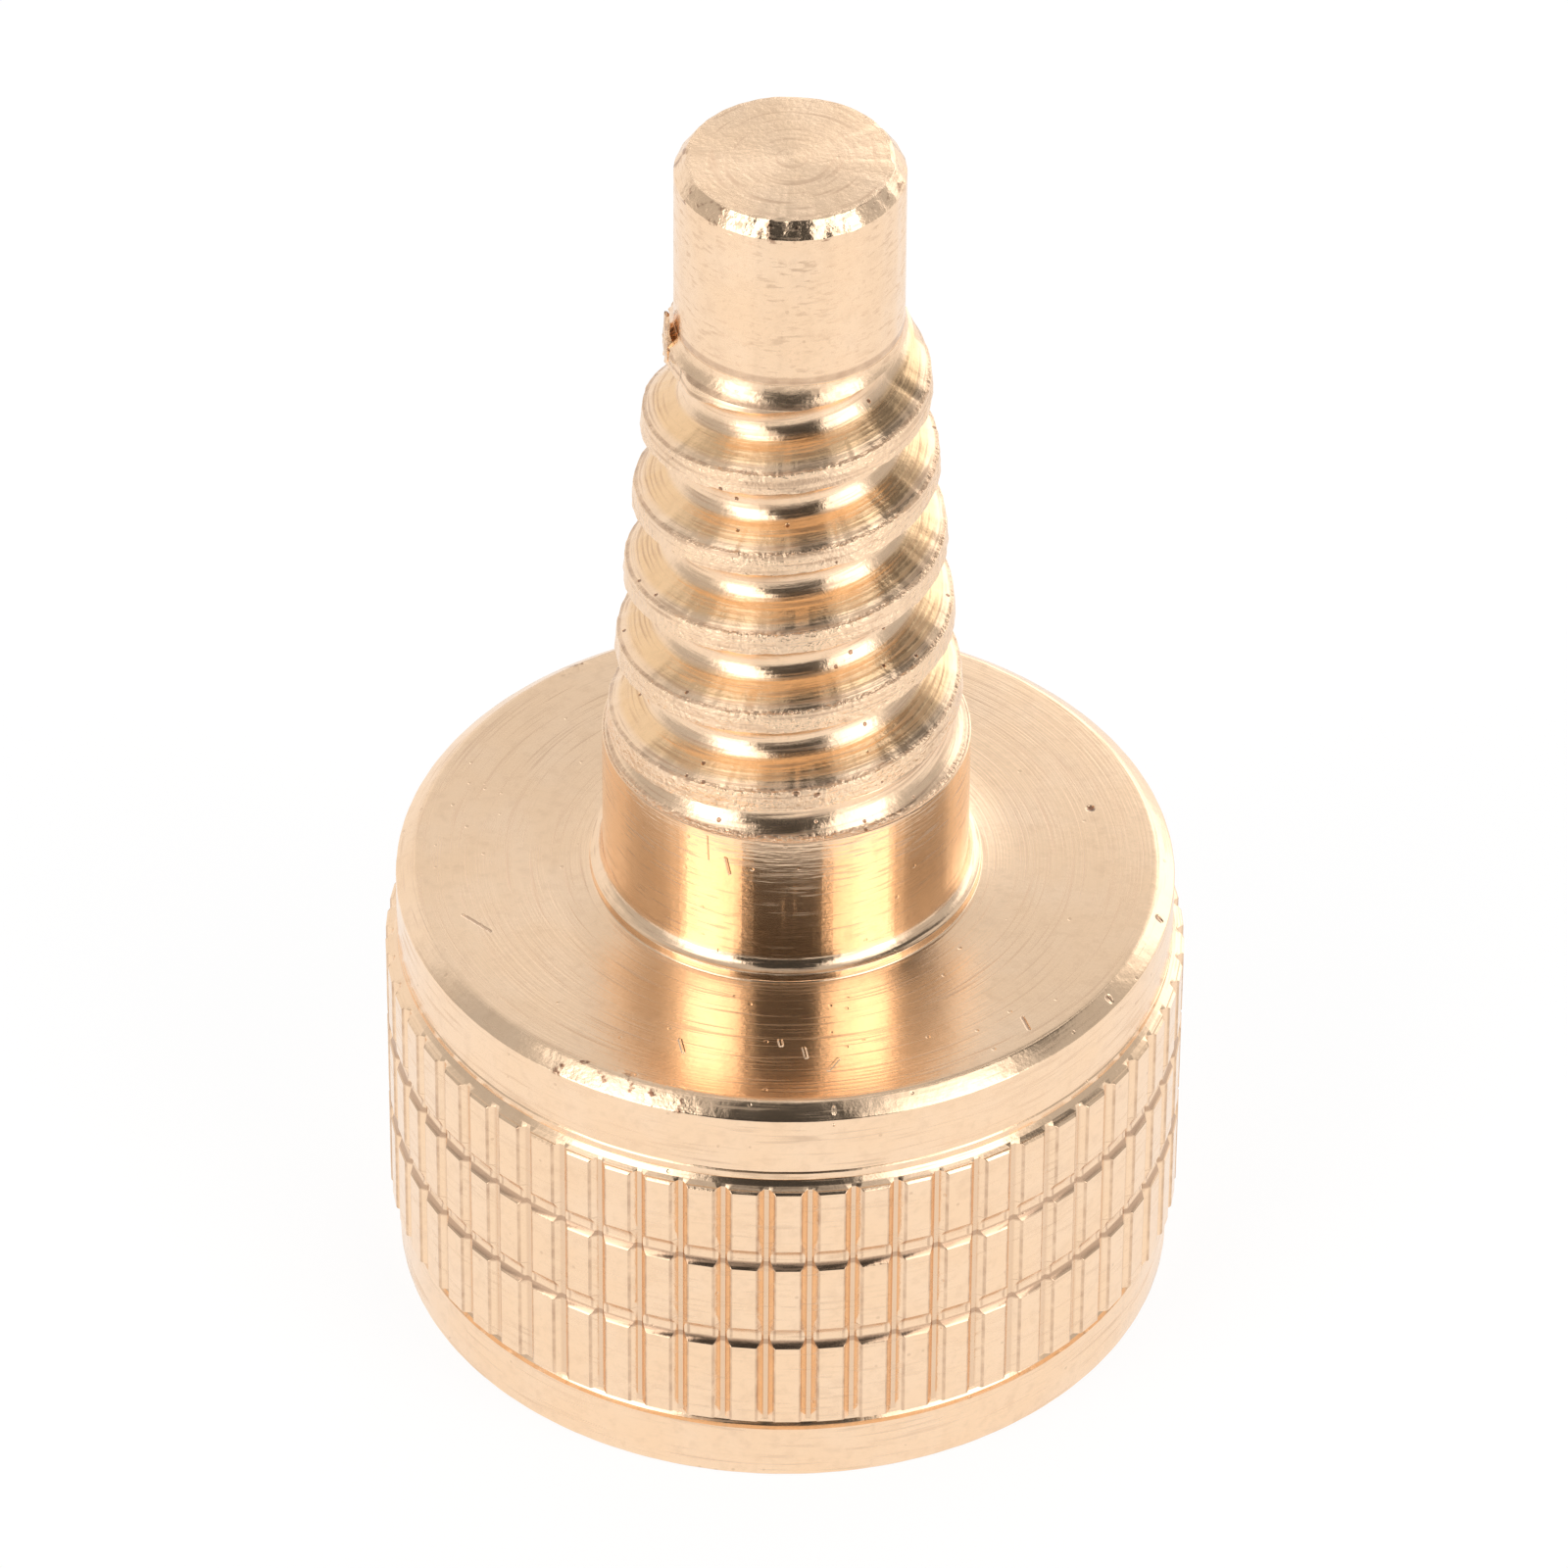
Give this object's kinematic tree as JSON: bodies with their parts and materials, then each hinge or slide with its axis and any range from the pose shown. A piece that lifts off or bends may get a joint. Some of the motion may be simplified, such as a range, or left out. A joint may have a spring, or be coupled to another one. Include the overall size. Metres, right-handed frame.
{
  "type": "pool cue joint screw",
  "caption": "One-piece brass cue joint screw: knurled round head with a plain collar, short shank, tapered coarse thread with rounded roots and a plain pilot.",
  "frame": {"origin": "centre of the flat end of the head, on the surface that the screw stands on", "axes": "+Z along the screw's axis, from the head to the pilot; -Y to the front, where the groove of the thread crosses its nose"},
  "size_m": [0.022, 0.022, 0.0368],
  "materials": {
    "brass": "as turned, fine concentric tool marks"
  },
  "bodies": {
    "root": {"joint_screw": "brass"}
  },
  "joints": []
}
